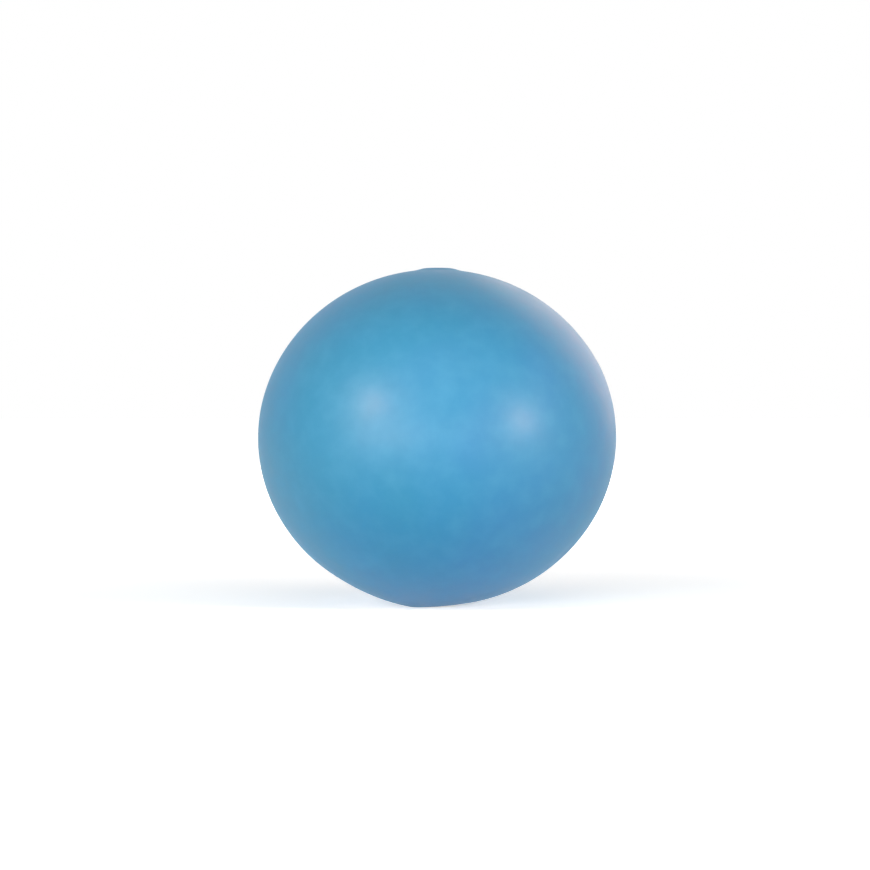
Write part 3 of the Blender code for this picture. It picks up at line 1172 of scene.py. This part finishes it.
@dataclass
class Studio:
    """A white floor and surround, soft lamps, and the camera at the photograph's angle."""

    centre: Vector = field(default_factory=lambda: Vector((0.0, 0.0, MIDDLE_HEIGHT)))
    image_width: float = 870.0
    ball_width: float = 358.7
    ball_place: tuple[float, float] = (437.0, 437.45)
    half_ball: float = 35.0 * MM
    elevation: float = math.radians(1.0)
    distance: float = 0.6
    sensor: float = 36.0
    clip: tuple[float, float] = (0.05, 50.0)
    floor_half: float = 3.0
    floor_colour: str = "#F4F4F3"
    # A faint glow lights the ball's underside. A stronger one, which only the camera and the gloss see, makes
    # the floor white, and what the camera sees of it rises away from the ball, so that the shadow stays.
    floor_light: float = 0.07
    floor_glow: Ramp = Ramp(0.05, 0.3, 0.38, 0.89)
    floor_mirrored: float = 0.69
    surround: str = "#F0F6FC"
    surround_strength: float = 0.1
    lamps: tuple[Lamp, ...] = (
        Spot("left key", (-0.63, -0.66, 0.40), 0.2, 0.044, 0.058, 0.0040, "#FFD9C6", aim=LEFT_SHINE),
        Spot("right key", (0.81, -0.555, 0.19), 0.2, 0.038, 0.05, 0.0033, "#FFDCCA", aim=RIGHT_SHINE),
        Lamp("left fill", (-0.62, -0.73, 0.1), 0.55, 0.3, 0.4, 0.28, "#FFE7D7", False),
        Lamp("right fill", (0.76, -0.62, 0.24), 0.5, 0.2, 0.25, 0.32, "#FFE7D7", False),
        Lamp("low left strip", (-0.5, -0.86, 0.03), 1.2, 1.2, 0.10, 4.0, "#FFFFFF"),
        Lamp("front fill", (0.05, -1.0, 0.03), 1.2, 2.0, 0.5, 5.5, "#F3FBFF"),
        Lamp("high fill", (0.1, -0.6, 0.8), 1.2, 1.0, 0.8, 2.3, "#F3FBFF"),
        Lamp("window behind right", (0.50, 0.76, 0.39), 0.8, 0.7, 0.7, 2.5, "#FFDFCB"),
        Lamp("back fill", (-0.1, 0.92, 0.3), 1.0, 1.2, 0.8, 5.0, "#FFFFFF", False),
    )

    def build_surround(self) -> None:
        """Build the world: white where it is seen, softer where it lights the ball."""
        world = bpy.data.worlds.new("studio surround")
        bpy.context.scene.world = world
        world.use_nodes = True
        tree = world.node_tree
        tree.nodes.clear()
        soft = add_node(
            tree,
            "ShaderNodeBackground",
            {"Color": linear(self.surround), "Strength": self.surround_strength},
        ).outputs[0]
        white = add_node(tree, "ShaderNodeBackground", {"Color": (1.0, 1.0, 1.0, 1.0)}).outputs[0]
        path = add_node(tree, "ShaderNodeLightPath").outputs
        seen = path["Is Camera Ray"]
        for ray in ("Is Glossy Ray", "Is Transmission Ray"):
            seen = add_node(tree, "ShaderNodeMath", {0: seen, 1: path[ray]}, operation="MAXIMUM").outputs[0]
        mixed = add_node(tree, "ShaderNodeMixShader", {0: seen, 1: soft, 2: white}).outputs[0]
        add_node(tree, "ShaderNodeOutputWorld", {"Surface": mixed})

    def floor_strength(self, tree: bpy.types.NodeTree) -> bpy.types.NodeSocket:
        """Work out how strongly the floor glows, for each kind of ray.

        Args:
            tree: the floor's tree.

        Returns:
            The glow's strength.
        """
        place = add_node(tree, "ShaderNodeTexCoord").outputs["Object"]
        away = add_node(tree, "ShaderNodeVectorMath", {0: place}, operation="LENGTH").outputs["Value"]
        rising = add_node(
            tree, "ShaderNodeMapRange", self.floor_glow.inputs(away), interpolation_type="SMOOTHSTEP"
        ).outputs["Result"]
        path = add_node(tree, "ShaderNodeLightPath").outputs
        direct = add_node(
            tree, "ShaderNodeMath", {0: path["Is Camera Ray"], 1: rising}, operation="MULTIPLY"
        ).outputs[0]
        mirrored = add_node(
            tree,
            "ShaderNodeMath",
            {0: path["Is Glossy Ray"], 1: path["Is Transmission Ray"]},
            operation="MAXIMUM",
        ).outputs[0]
        seen = add_node(
            tree, "ShaderNodeMath", {0: mirrored, 1: self.floor_mirrored, 2: direct}, operation="MULTIPLY_ADD"
        ).outputs[0]
        return add_node(tree, "ShaderNodeMath", {0: seen, 1: self.floor_light}, operation="ADD").outputs[0]

    def build_floor(self) -> None:
        """Build the pale floor, which keeps the ball's shadow and isn't there from below."""
        shape = bmesh.new()
        bmesh.ops.create_grid(shape, x_segments=1, y_segments=1, size=self.floor_half)
        floor = piece_of("floor", shape)
        # Matt photographic paper gives the eye an even white, with only the ball's soft shadow on it.
        material = bpy.data.materials.new("pale paper sweep")
        material.use_nodes = True
        tree = material.node_tree
        tree.nodes.clear()
        paper = add_node(
            tree, "ShaderNodeBsdfDiffuse", {"Color": linear(self.floor_colour), "Roughness": 1.0}
        ).outputs[0]
        glow = add_node(tree, "ShaderNodeEmission", {"Strength": self.floor_strength(tree)}).outputs[0]
        lit = add_node(tree, "ShaderNodeAddShader", {0: paper, 1: glow}).outputs[0]
        below = add_node(tree, "ShaderNodeNewGeometry").outputs["Backfacing"]
        clear = add_node(tree, "ShaderNodeBsdfTransparent").outputs[0]
        mixed = add_node(tree, "ShaderNodeMixShader", {0: below, 1: lit, 2: clear}).outputs[0]
        add_node(tree, "ShaderNodeOutputMaterial", {"Surface": mixed})
        floor.data.materials.append(material)

    def build_camera(self) -> None:
        """Build the camera, level with the ball and far enough away for the photograph's perspective."""
        camera = bpy.data.cameras.new("camera")
        camera.sensor_width = self.sensor
        limb = math.tan(math.asin(self.half_ball / self.distance))
        camera.lens = self.sensor * (self.ball_width / self.image_width) / (2 * limb)
        camera.clip_start, camera.clip_end = self.clip
        view = bpy.data.objects.new("camera", camera)
        bpy.context.scene.collection.objects.link(view)
        back = Vector((0.0, -math.cos(self.elevation), math.sin(self.elevation)))
        up = Vector((0.0, math.sin(self.elevation), math.cos(self.elevation)))
        pixel = 2 * limb * self.distance / self.ball_width
        middle = self.image_width / 2
        shift = Vector((middle - self.ball_place[0], 0.0, 0.0)) * pixel
        shift += up * (self.ball_place[1] - middle) * pixel
        view.location = self.centre + shift + back * self.distance
        view.rotation_euler = (math.pi / 2 - self.elevation, 0.0, 0.0)
        bpy.context.scene.camera = view

    def build(self) -> None:
        """Build the whole studio."""
        bpy.context.scene.view_settings.view_transform = "Standard"
        self.build_surround()
        self.build_floor()
        for lamp in self.lamps:
            lamp.build(self.centre)
        self.build_camera()


def write_sizes() -> None:
    """Bring the view layer up to date, so that the pieces' places are current."""
    bpy.context.view_layer.update()


def main() -> None:
    """Build the ball, its squeaker and the studio."""
    logging.basicConfig(level=logging.INFO, format="%(message)s")
    BallShell().build()
    SqueakerHousing().build()
    SqueakerCap().build()
    pack = ReedPack()
    pack.build_blocks()
    pack.build_reed()
    Studio().build()
    write_sizes()


if __name__ == "__main__":
    main()
